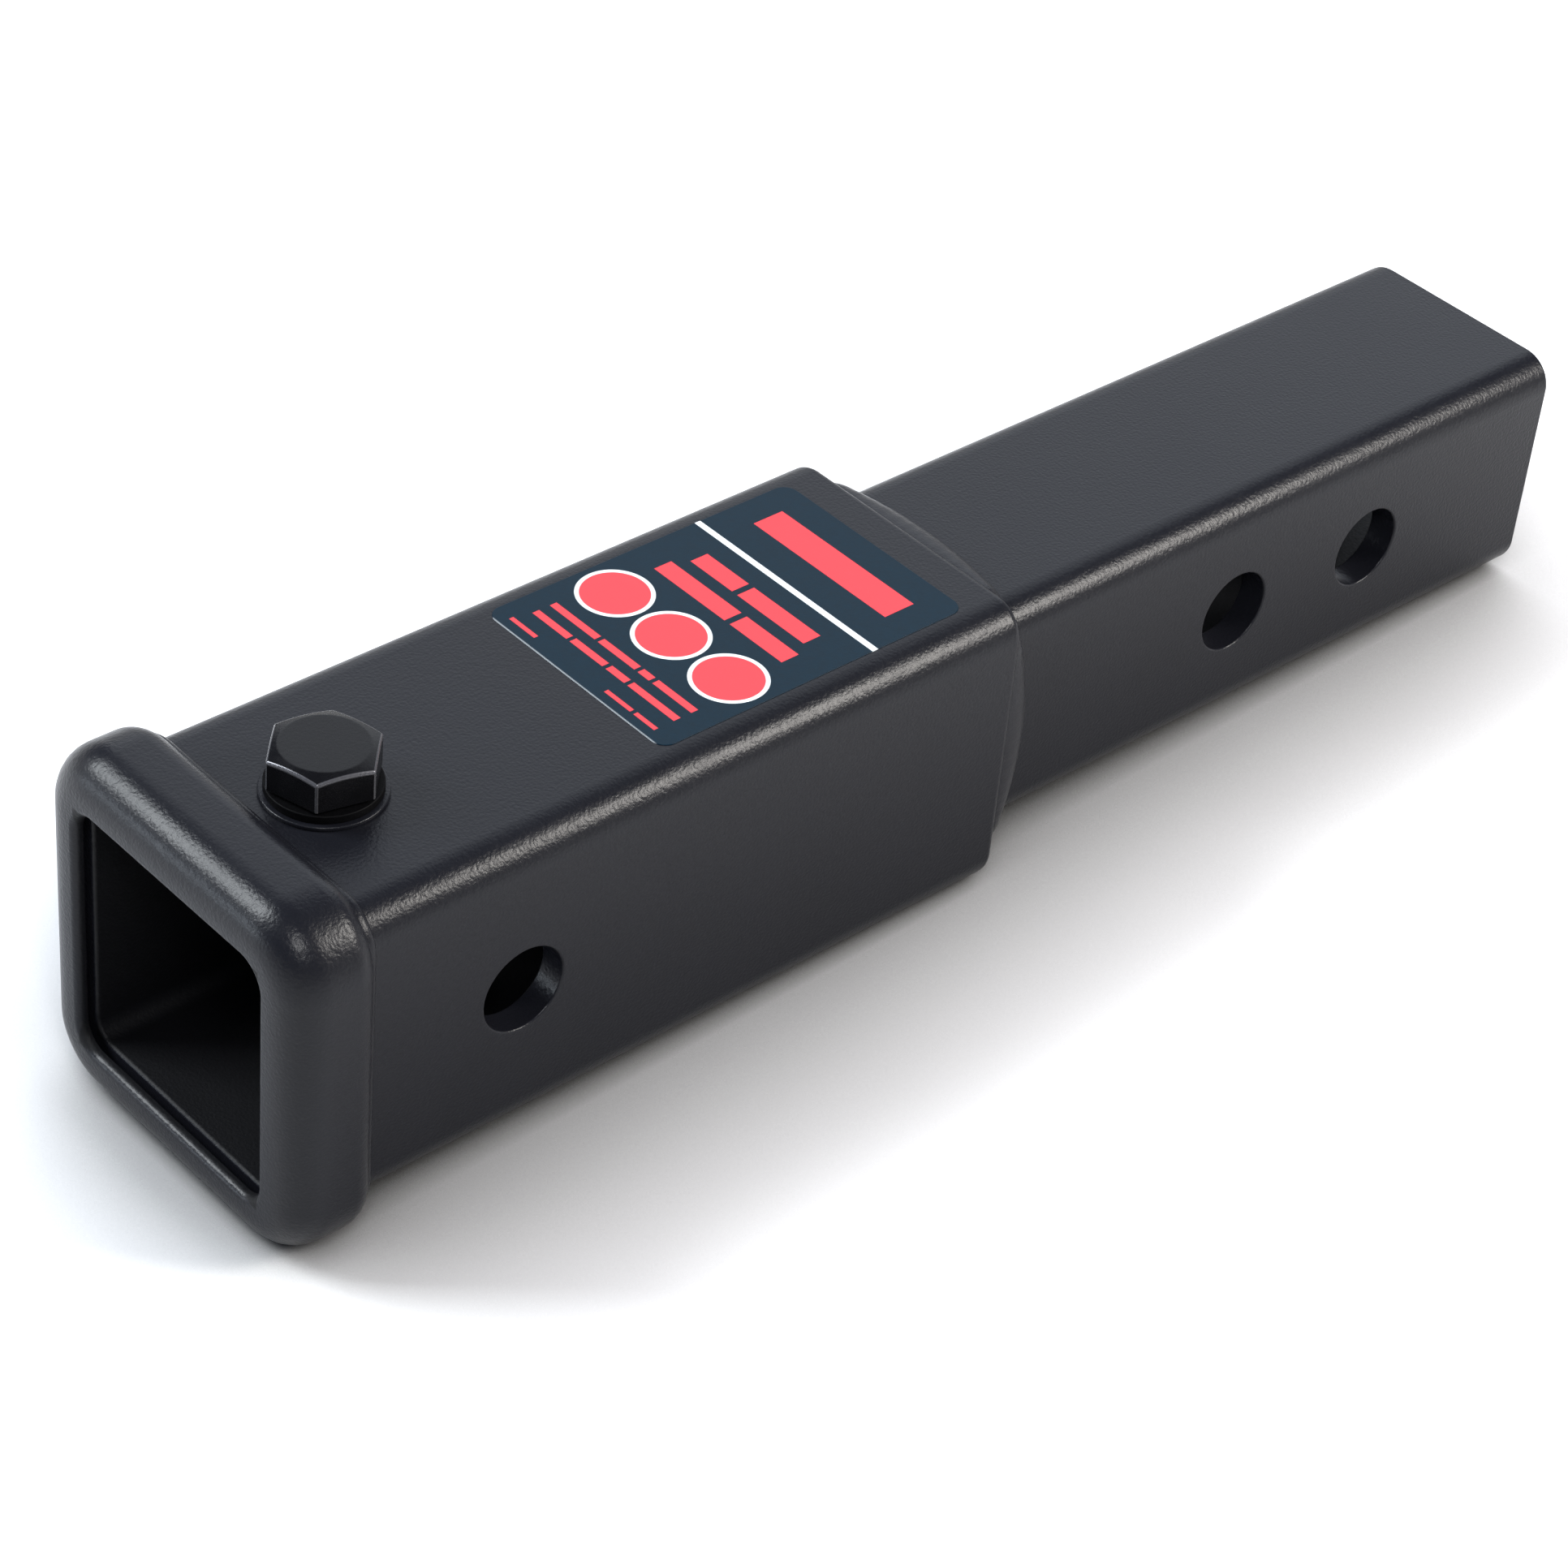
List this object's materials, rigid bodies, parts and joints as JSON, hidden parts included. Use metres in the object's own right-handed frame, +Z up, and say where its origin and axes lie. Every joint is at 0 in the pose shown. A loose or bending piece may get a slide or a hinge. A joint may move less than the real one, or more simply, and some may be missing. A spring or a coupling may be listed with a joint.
{
  "type": "hitch receiver extender",
  "caption": "Square steel tube with a collared receiver mouth at one end, a smaller drilled shank at the other and an anti-rattle bolt on top.",
  "frame": {"origin": "on the tube axis, at the axis of the receiver's pin hole", "axes": "+X along the tube from the mouth to the shank's free end, +Y along the pin holes, +Z up, towards the anti-rattle bolt"},
  "size_m": [0.3245, 0.074, 0.0788],
  "materials": {
    "coated_steel": "satin black powder coat with a fine orange-peel texture",
    "bolt_steel": "dark oxide on a forged hexagon bolt",
    "label_film": "printed film in dark blue with plain red and white shapes"
  },
  "bodies": {
    "extender": {"receiver_tube": "coated_steel", "mouth_collar": "coated_steel", "collar_weld": "coated_steel", "shank_tube": "coated_steel", "shank_weld_top": "coated_steel", "shank_weld_left": "coated_steel", "shank_weld_bottom": "coated_steel", "shank_weld_right": "coated_steel", "flat_washer": "coated_steel", "label": "label_film"},
    "spring_washer": {"lock_washer": "bolt_steel"},
    "bolt": {"anti_rattle_bolt": "bolt_steel"}
  },
  "joints": [
    {"name": "bolt_lift", "type": "slide", "parent": "extender", "child": "spring_washer", "axis": [0, 0, 1], "range_m": [0, 0.00569]},
    {"name": "bolt_turn", "type": "hinge", "parent": "spring_washer", "child": "bolt", "pos_m": [-0.0193, 0, 0.03465], "axis": [0, 0, 1], "range_deg": [0, 1171]}
  ],
  "couplings": [
    {"joint": "bolt_turn", "follows": "bolt_lift", "rad_per_m": 3590.4}
  ]
}
